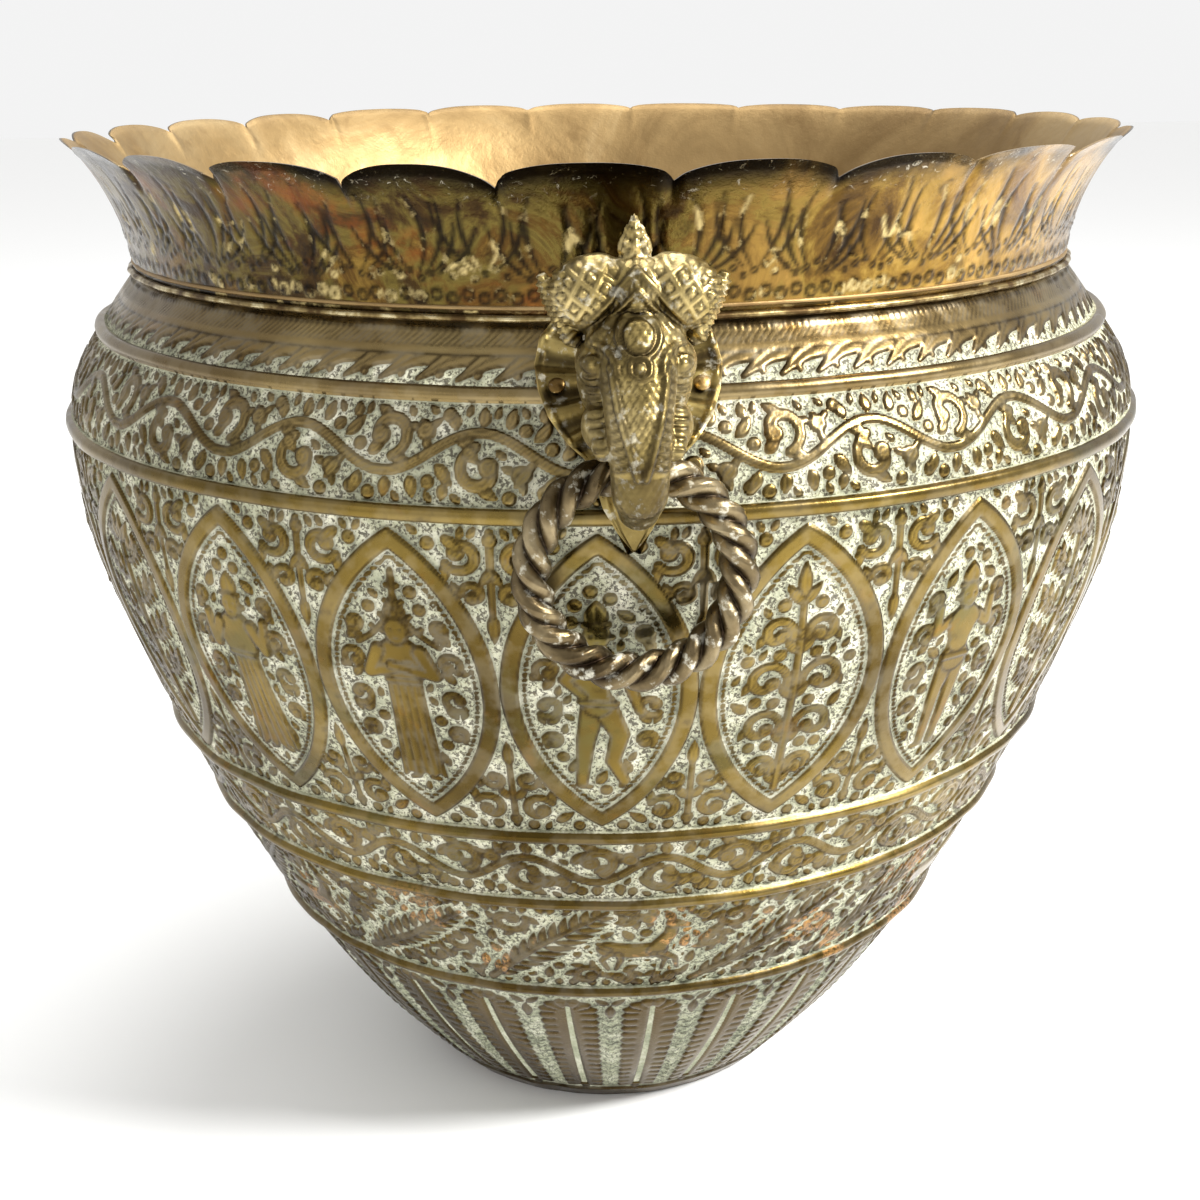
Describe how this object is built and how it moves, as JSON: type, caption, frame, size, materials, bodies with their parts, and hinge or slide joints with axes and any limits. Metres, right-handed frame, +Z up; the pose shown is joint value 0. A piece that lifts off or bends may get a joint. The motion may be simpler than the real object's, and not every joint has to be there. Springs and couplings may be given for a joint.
{
  "type": "planter pot",
  "caption": "Chased brass planter pot with a scalloped flared collar and two cast elephant-head handles that hold swinging rope rings.",
  "frame": {"origin": "centre of the underside of the base, on the surface it stands on", "axes": "+Z up along the pot's axis, the front handle faces -Y and the back handle +Y, +X to the right of the front"},
  "size_m": [0.3548, 0.419, 0.3254],
  "materials": {
    "chased_brass": "raised and chased sheet brass, matted ground with pale green verdigris",
    "collar_brass": "glossy sheet brass, dark brown patina with heat stains",
    "base_brass": "dull sheet brass",
    "solder": "bright grey-yellow solder",
    "cast_brass": "cast brass, chased, with dark and whitish residue in the hollows",
    "ring_brass": "cast brass rope, worn on the strands",
    "rivet_brass": "peened brass"
  },
  "bodies": {
    "pot": {"belly": "chased_brass", "collar": "collar_brass", "base_disc": "base_brass", "base_solder": "solder", "neck_solder": "solder", "front_ear_plate": "cast_brass", "front_elephant_head": "cast_brass", "front_ear_rivets": "rivet_brass", "front_burrs": "rivet_brass", "back_ear_plate": "cast_brass", "back_elephant_head": "cast_brass", "back_ear_rivets": "rivet_brass", "back_burrs": "rivet_brass"},
    "front_ring": {"front_rope_ring": "ring_brass"},
    "back_ring": {"back_rope_ring": "ring_brass"}
  },
  "joints": [
    {"name": "front_ring_swing", "type": "hinge", "parent": "pot", "child": "front_ring", "pos_m": [0, -0.1845, 0.253], "axis": [-1, 0, 0], "range_deg": [0, 110]},
    {"name": "back_ring_swing", "type": "hinge", "parent": "pot", "child": "back_ring", "pos_m": [0, 0.1845, 0.253], "axis": [1, 0, 0], "range_deg": [0, 110]}
  ]
}
